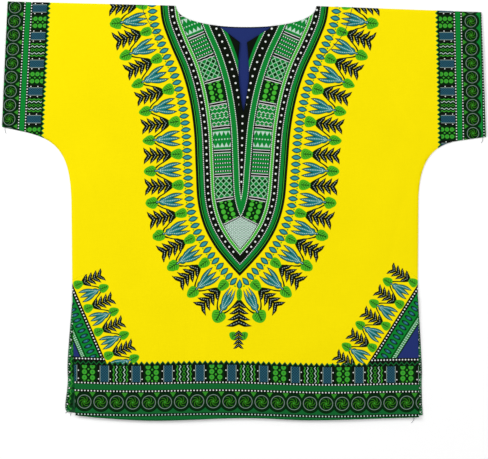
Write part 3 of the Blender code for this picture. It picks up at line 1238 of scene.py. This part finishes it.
def panel(name, outline, grid, heights, face_down=False):
    """One panel of the shirt as a thin closed shell, with its print's places kept on its points."""
    sheet = flat_sheet(outline, grid)
    sheet.verts.ensure_lookup_table()
    points = np.array([v.co[:2] for v in sheet.verts])
    for vertex, height in zip(sheet.verts, heights(points)):
        vertex.co.z = height
    off, run, turn = yoke_place(points)
    for face in sheet.faces:
        near = min(off[v.index] for v in face.verts)
        face.material_index = REGIONS.index(region_of(face.calc_center_median()[:2], near))
    mesh = mesh_of(name, sheet, dict(zip(YOKE_ATTRIBUTES, (off, run, turn))))
    if (mesh.polygons[0].normal.z < 0) != face_down:
        mesh.flip_normals()
    for region in (*REGIONS, "inside"):
        mesh.materials.append(cloth_finishes()[region])
    shell = placed(name, mesh)
    wall = shell.modifiers.new("wall", "SOLIDIFY")
    wall.thickness = settings()[0].thickness
    wall.offset = -1.0
    wall.material_offset = len(REGIONS)
    return made_mesh(shell)


BAKE_STRIP = 0.12
BAKE_FACING = 0.3


def lay_out_for_baking(piece, upper):
    """A map that gives the shown face nearly the whole square and its reverse a strip below."""
    mesh = piece.data
    points = np.array([v.co[:2] for v in mesh.vertices])
    low, size = points.min(axis=0), float(np.ptp(points, axis=0).max())
    spread = (points - low) / size
    layer = mesh.uv_layers.new(name="OFBake")
    corners = np.zeros((len(mesh.loops), 2))
    for face in mesh.polygons:
        facing = face.normal.z if upper else -face.normal.z
        shown = face.material_index < len(REGIONS) and facing > BAKE_FACING
        for loop in face.loop_indices:
            u, v = spread[mesh.loops[loop].vertex_index]
            corners[loop] = (u, BAKE_STRIP + v * (1 - BAKE_STRIP)) if shown else (u, v * BAKE_STRIP)
    layer.data.foreach_set("uv", corners.ravel())


# Turned hems and edges


def headings(line):
    """Each point of a line with the way it runs there."""
    points = [Vector(p) for p in line]
    for before, here, after in zip([points[0], *points], points, [*points[1:], points[-1]]):
        yield here, (after - before).normalized()


def strip_along(name, line, section, inward, finish):
    """A closed body swept along a line: section gives steps inward and heights, in metres."""
    body = bmesh.new()
    rings, across = [], []
    for i, (here, ahead) in enumerate(headings(line)):
        side = Vector((-ahead.y, ahead.x)) * inward
        places = section(i / (len(line) - 1))
        rings.append([body.verts.new((*(here + side * step), height)) for step, height in places])
        across += [step * 1000 for step, _ in places]
    for ring, after in zip(rings, rings[1:]):
        for i in range(len(ring)):
            body.faces.new((ring[i], ring[i - 1], after[i - 1], after[i]))
    body.faces.new(rings[0])
    body.faces.new(rings[-1][::-1])
    bmesh.ops.recalc_face_normals(body, faces=body.faces[:])
    mesh = mesh_of(name, body, {"across": across})
    mesh.materials.append(finish)
    return placed(name, mesh)


VENT_HEM_WIDTH = 0.0130
VENT_HEM_THICKNESS = 0.0007
LUMP_START = 0.90
LUMP_RAMP = 0.06
LUMP_HEIGHT = 0.0012
RIGHT_LUMP = 0.35


def vent_section(side):
    """The folded hem's section: out round the back's edge and flat over it, thicker at the corner."""
    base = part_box("back_panel")[1].z

    def section(t):
        lump = float(smooth((t - LUMP_START) / LUMP_RAMP)) * (1.0 if side is LEFT else RIGHT_LUMP)
        top = base + VENT_HEM_THICKNESS + LUMP_HEIGHT * lump
        return ((VENT_HEM_WIDTH, 0.00065), (0.0010, 0.00055), (-0.0001 - 0.0006 * lump, 0.0008),
                (-0.0004 - 0.0010 * lump, base * 0.8), (0.0001 - 0.0006 * lump, top - 0.0003),
                (0.0010, top), (0.0040, top - 0.0001), (VENT_HEM_WIDTH - 0.0004, top - 0.0004),
                (VENT_HEM_WIDTH, top - 0.0006))

    return section


ROLL_SIDES = 10
ROLL_HALF_WIDTH = 0.0010
ROLL_HALF_HEIGHT = 0.00055
ROLL_IN_FROM_EDGE = 0.0008
ROLL_MIDDLE_HEIGHT = 0.0006


def neck_section(_):
    """The rolled neck edge's section, a flat round that is the same all along."""
    angles = [2 * math.pi * i / ROLL_SIDES for i in range(ROLL_SIDES)]
    return [(ROLL_IN_FROM_EDGE + ROLL_HALF_WIDTH * math.cos(a),
             ROLL_MIDDLE_HEIGHT + ROLL_HALF_HEIGHT * math.sin(a)) for a in angles]


# Stitches


def node_group(name, sizes):
    """A new geometry node group with named sizes and a material, and the sockets of its inputs."""
    tree = bpy.data.node_groups.new(name, "GeometryNodeTree")
    inputs = [("Geometry", "Geometry"), *((size, "Float") for size in sizes), ("Material", "Material")]
    for label, kind in inputs:
        tree.interface.new_socket(label, in_out="INPUT", socket_type=f"NodeSocket{kind}")
    tree.interface.new_socket("Geometry", in_out="OUTPUT", socket_type="NodeSocketGeometry")
    return tree, tree.nodes.new("NodeGroupInput").outputs


def end_group(tree, geometry, material):
    """The group's end: real geometry in the given material."""
    real = add_node(tree, "GeometryNodeRealizeInstances", None, {0: geometry})
    finish = add_node(tree, "GeometryNodeSetMaterial", None,
                      {"Geometry": real.outputs[0], "Material": material})
    add_node(tree, "NodeGroupOutput", None, {0: finish.outputs[0]})


STITCH_FLATNESS = 0.6


def stitch_tree():
    """Geometry nodes that lay small stitches along a curve."""
    tree, given = node_group("stitch_run", ("Pitch", "Length", "Thread"))
    resample = add_node(tree, "GeometryNodeResampleCurve", {"mode": "LENGTH"},
                        {"Curve": given["Geometry"], "Length": given["Pitch"]})
    ball = add_node(tree, "GeometryNodeMeshUVSphere", None, {"Segments": 6, "Rings": 4, "Radius": 0.5})
    tangent = add_node(tree, "GeometryNodeInputTangent")
    align = add_node(tree, "FunctionNodeAlignRotationToVector", {"axis": "X"},
                     {"Vector": tangent.outputs[0]})
    flat = add_node(tree, "ShaderNodeMath", {"operation": "MULTIPLY"},
                    {0: given["Thread"], 1: STITCH_FLATNESS})
    size = add_node(tree, "ShaderNodeCombineXYZ", None,
                    {0: given["Length"], 1: given["Thread"], 2: flat.outputs[0]})
    place = add_node(tree, "GeometryNodeInstanceOnPoints", None, {
        "Points": resample.outputs[0], "Instance": ball.outputs["Mesh"],
        "Rotation": align.outputs[0], "Scale": size.outputs[0],
    })
    end_group(tree, place.outputs[0], given["Material"])
    return tree


def thread_tree():
    """Geometry nodes that turn drawn lines into round thread."""
    tree, given = node_group("thread", ("Radius",))
    ring = add_node(tree, "GeometryNodeCurvePrimitiveCircle", None,
                    {"Resolution": 6, "Radius": given["Radius"]})
    sweep = add_node(tree, "GeometryNodeCurveToMesh", None, {
        "Curve": given["Geometry"], "Profile Curve": ring.outputs["Curve"], "Fill Caps": True,
    })
    end_group(tree, sweep.outputs["Mesh"], given["Material"])
    return tree


def sewn(name, lines, tree, **values):
    """The smooth mesh that a node group makes from lines drawn on the cloth."""
    curve = bpy.data.curves.new(name, "CURVE")
    curve.dimensions = "3D"
    shift = settle()
    for line in lines:
        spline = curve.splines.new("POLY")
        spline.points.add(len(line) - 1)
        for knot, (x, y, z) in zip(spline.points, line):
            knot.co = (x + shift.x, y + shift.y, z, 1.0)
    run = placed(name, curve)
    modifier = run.modifiers.new(tree.name, "NODES")
    modifier.node_group = tree
    for item in tree.interface.items_tree:
        if item.in_out == "INPUT" and item.name in values:
            modifier[item.identifier] = values[item.name]
    made = made_mesh(run)
    for face in made.data.polygons:
        face.use_smooth = True
    return made


STITCH_LINE_STEP = 0.004


def on_cloth(line):
    """A line's points every few millimetres, with the front's height under each."""
    points = spaced(line, STITCH_LINE_STEP)
    return [(x, y, top) for (x, y), top in zip(points, front_top(np.array(points)))]


def moved_in(line, by):
    """A line moved sideways by a distance: to its left where by is positive."""
    return [(here.x - ahead.y * by, here.y + ahead.x * by) for here, ahead in headings(line)]


SEWN_IN_FROM_EDGE = 0.0110
FACING_LEFT = ((-0.1873, 0.3772), (-0.1840, 0.3643), (-0.1759, 0.3483), (-0.1678, 0.3375),
               (-0.1538, 0.3235), (-0.1459, 0.3169))
FACING_RIGHT = ((0.1993, 0.3742), (0.1873, 0.3343), (0.1794, 0.3214), (0.1724, 0.3124),
                (0.1634, 0.3019), (0.1494, 0.2885), (0.1386, 0.2806))


def stitch_lines():
    """The rows of stitching: round the facing, across the cuffs and along the hem."""
    cuffs = [moved_in([side.cuff_top, side.cuff_bottom], by)
             for side, by in ((LEFT, SEWN_IN_FROM_EDGE), (RIGHT, -SEWN_IN_FROM_EDGE))]
    bottom = hem(LEFT.front_corner, RIGHT.front_corner)[2:-2]
    return {
        "facing_stitches": [through(line, CURVE_STEPS) for line in (FACING_LEFT, FACING_RIGHT)],
        "cuff_stitches": cuffs,
        "hem_stitches": [moved_in(bottom, -SEWN_IN_FROM_EDGE)],
    }


class LooseEnd(NamedTuple):
    """A snipped thread end: where it leaves the cloth, its way out and bend, and its length."""

    x: float
    y: float
    out: float
    bend: float
    length: float


LOOSE_ENDS = (
    LooseEnd(-0.3185, -0.3660, 195.0, 40.0, 0.012),
    LooseEnd(-0.3190, -0.3590, 170.0, -50.0, 0.010),
    LooseEnd(-0.3170, -0.3700, 230.0, 60.0, 0.008),
    LooseEnd(0.3130, -0.3805, 262.0, -45.0, 0.011),
    LooseEnd(LEFT.cuff_bottom[0] + 0.006, LEFT.cuff_bottom[1], 255.0, 50.0, 0.013),
    LooseEnd(RIGHT.cuff_bottom[0] - 0.006, RIGHT.cuff_bottom[1], -80.0, -50.0, 0.012),
)
LOOSE_END_STEPS = 9
LOOSE_END_DROP = 0.0016


def loose_line(end, radius):
    """A thread end's middle line, bent down to the floor."""
    x, y = end.x, end.y
    line = []
    for i in range(LOOSE_END_STEPS + 1):
        t = i / LOOSE_END_STEPS
        line.append((x, y, LOOSE_END_DROP * (1 - t) ** 2 + radius))
        way = math.radians(end.out + end.bend * t)
        x += math.cos(way) * end.length / LOOSE_END_STEPS
        y += math.sin(way) * end.length / LOOSE_END_STEPS
    return line


# Operators


BACK_COARSER = 1.4  # the back's mesh spacing, in the front's


class DASHIKI_OT_front(bpy.types.Operator):
    """Builds the front panel with its half-sleeves, scoop and slit"""

    bl_idname = "dashiki.front"
    bl_label = "Front panel"

    def execute(self, context):
        sizes, _ = settings()
        outline = front_outline(sizes.grid)
        front = panel("front_cloth", outline, sizes.grid, front_top)
        lay_out_for_baking(front, upper=True)
        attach(front, BODY)
        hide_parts("front_panel")
        return {"FINISHED"}


class DASHIKI_OT_back(bpy.types.Operator):
    """Builds the back panel, which lies flat on the floor"""

    bl_idname = "dashiki.back"
    bl_label = "Back panel"

    def execute(self, context):
        sizes, _ = settings()
        outline = back_outline(sizes.grid)
        back = panel("back_cloth", outline, sizes.grid * BACK_COARSER, back_underside, face_down=True)
        lay_out_for_baking(back, upper=False)
        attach(back, BODY)
        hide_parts("back_panel")
        return {"FINISHED"}


VENT_HEM_STEP = 0.004


class DASHIKI_OT_hems(bpy.types.Operator):
    """Folds the back's two vent hems over its edges"""

    bl_idname = "dashiki.hems"
    bl_label = "Vent hems"

    def execute(self, context):
        _, inks = settings()
        finish = vent_material(inks)
        for side, word, inward in ((LEFT, "left", 1.0), (RIGHT, "right", -1.0)):
            edge = spaced(vent_edge(side), VENT_HEM_STEP)
            line = [p for p in edge if p[1] < side.seam_end[1] - VENT_HEM_STEP]
            hem_strip = strip_along(f"vent_hem_{word}", line, vent_section(side), inward, finish)
            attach(hem_strip, BODY)
            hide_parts(f"back_vent_hem_{word}")
        return {"FINISHED"}


NECK_ROLL_REACH = 0.110


class DASHIKI_OT_neck_roll(bpy.types.Operator):
    """Rolls the back's neck edge over its facing"""

    bl_idname = "dashiki.neck_roll"
    bl_label = "Neck roll"

    def execute(self, context):
        _, inks = settings()
        line = [p for p in scoop() if abs(p[0]) < NECK_ROLL_REACH]
        roll = strip_along("neck_roll", line, neck_section, -1.0, painted_shade_roll_material(inks))
        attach(roll, BODY)
        return {"FINISHED"}


# Overlapping, the facing's wide dark stitches run together as one line: thread, and painted shade of its
# groove.
FACING_OVERLAP = 0.88  # the facing's backstitches stand closer than they are long


class DASHIKI_OT_stitching(bpy.types.Operator):
    """Sews the facing, the cuffs and the hem, and leaves a few thread ends"""

    bl_idname = "dashiki.stitching"
    bl_label = "Stitching"

    def execute(self, context):
        sizes, inks = settings()
        finish = thread_material(inks)
        tree = stitch_tree()
        for name, lines in stitch_lines().items():
            facing_with_painted_shade = name == "facing_stitches"
            thread = sizes.facing_thread_and_groove_shade if facing_with_painted_shade else sizes.thread
            pitch = sizes.stitch_length * FACING_OVERLAP if facing_with_painted_shade else sizes.stitch_pitch
            row = sewn(name, [on_cloth(line) for line in lines], tree,
                       Pitch=pitch, Length=sizes.stitch_length, Thread=thread, Material=finish)
            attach(row, BODY)
        radius = sizes.thread * 0.5
        lines = [loose_line(end, radius) for end in LOOSE_ENDS]
        ends = sewn("thread_ends", lines, thread_tree(), Radius=radius, Material=finish)
        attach(ends, BODY)
        return {"FINISHED"}


CAMERA_HEIGHT = 3.2
PHOTO_WIDTH, PHOTO_HEIGHT = 488, 459
METRES_PER_PIXEL = 0.00184
SHIRT_ORIGIN_ROW = 211.0
FLOOR_SIZE = 9.0
FLOOR_CUTS = 24
FLOOR_DROP = 0.0002
FLOOR_WHITE = (0.93, 0.93, 0.93)
WORLD_LIGHT = 0.62


class Lamp(NamedTuple):
    """A soft square lamp that shines at the shirt's middle: its place, its size and its power."""

    name: str
    place: tuple
    size: float
    watts: float


LAMPS = (
    Lamp("key", (-2.3, 1.7, 1.9), 1.2, 66.0),
    Lamp("fill", (1.9, 1.0, 2.4), 2.4, 27.0),
    Lamp("low", (0.3, -2.2, 2.2), 2.0, 9.0),
)


class DASHIKI_OT_stage(bpy.types.Operator):
    """Sets the pale floor, soft lights and a camera straight above"""

    bl_idname = "dashiki.stage"
    bl_label = "Floor, lights and camera"

    def execute(self, context):
        scene = context.scene
        bpy.ops.mesh.primitive_grid_add(x_subdivisions=FLOOR_CUTS, y_subdivisions=FLOOR_CUTS,
                                        size=FLOOR_SIZE, location=(0, 0, -FLOOR_DROP))
        floor = context.object
        floor.name = "floor"
        paint = Paint("pale_floor", settings()[1], FLOOR_WHITE)
        put(paint.tree, paint.shader.inputs["Base Color"], paint.colour)
        put(paint.tree, paint.shader.inputs["Roughness"], 0.85 + paint.noise(3.0, 2.0) * 0.1)
        floor.data.materials.append(paint.material)

        centre_y = (SHIRT_ORIGIN_ROW - PHOTO_HEIGHT / 2) * METRES_PER_PIXEL
        camera = bpy.data.cameras.new("camera")
        camera.sensor_fit = "HORIZONTAL"
        camera.lens = camera.sensor_width * CAMERA_HEIGHT / (PHOTO_WIDTH * METRES_PER_PIXEL)
        scene.camera = placed("camera", camera)
        scene.camera.location = (0.0, centre_y, CAMERA_HEIGHT)

        for lamp in LAMPS:
            light = bpy.data.lights.new(lamp.name, "AREA")
            light.size, light.energy = lamp.size, lamp.watts
            stand = placed(lamp.name, light)
            stand.location = lamp.place
            stand.rotation_euler = (-Vector(lamp.place)).to_track_quat("-Z", "Y").to_euler()
        world = bpy.data.worlds.new("studio")
        world.use_nodes = True
        background = world.node_tree.nodes["Background"].inputs
        background["Color"].default_value = (1.0, 1.0, 1.0, 1.0)
        background["Strength"].default_value = WORLD_LIGHT
        scene.world = world
        scene.view_settings.view_transform = "Standard"
        return {"FINISHED"}


class DASHIKI_PT_panel(bpy.types.Panel):
    """Sizes, inks and the shirt's pieces in the sidebar"""

    bl_idname = "DASHIKI_PT_panel"
    bl_label = "Dashiki shirt"
    bl_space_type = "VIEW_3D"
    bl_region_type = "UI"
    bl_category = "Dashiki"

    def draw(self, context):
        sizes, inks = settings()
        for group in (sizes, inks):
            for key in group.bl_rna.properties.keys():
                if key not in ("rna_type", "name"):
                    self.layout.prop(group, key)
        for operator in OPERATORS:
            self.layout.operator(operator.bl_idname)


OPERATORS = (DASHIKI_OT_front, DASHIKI_OT_back, DASHIKI_OT_hems, DASHIKI_OT_neck_roll,
             DASHIKI_OT_stitching, DASHIKI_OT_stage)
CLASSES = (ClothSizes, PrintInks, *OPERATORS, DASHIKI_PT_panel)


def register():
    for made in CLASSES:
        bpy.utils.register_class(made)
    bpy.types.Scene.dashiki_sizes = PointerProperty(type=ClothSizes)
    bpy.types.Scene.dashiki_inks = PointerProperty(type=PrintInks)


def unregister():
    del bpy.types.Scene.dashiki_inks
    del bpy.types.Scene.dashiki_sizes
    for made in reversed(CLASSES):
        bpy.utils.unregister_class(made)


def main():
    """Registers the add-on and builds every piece."""
    register()
    bpy.ops.dashiki.front()
    bpy.ops.dashiki.back()
    bpy.ops.dashiki.hems()
    bpy.ops.dashiki.neck_roll()
    bpy.ops.dashiki.stitching()
    bpy.ops.dashiki.stage()


if __name__ == "__main__":
    main()
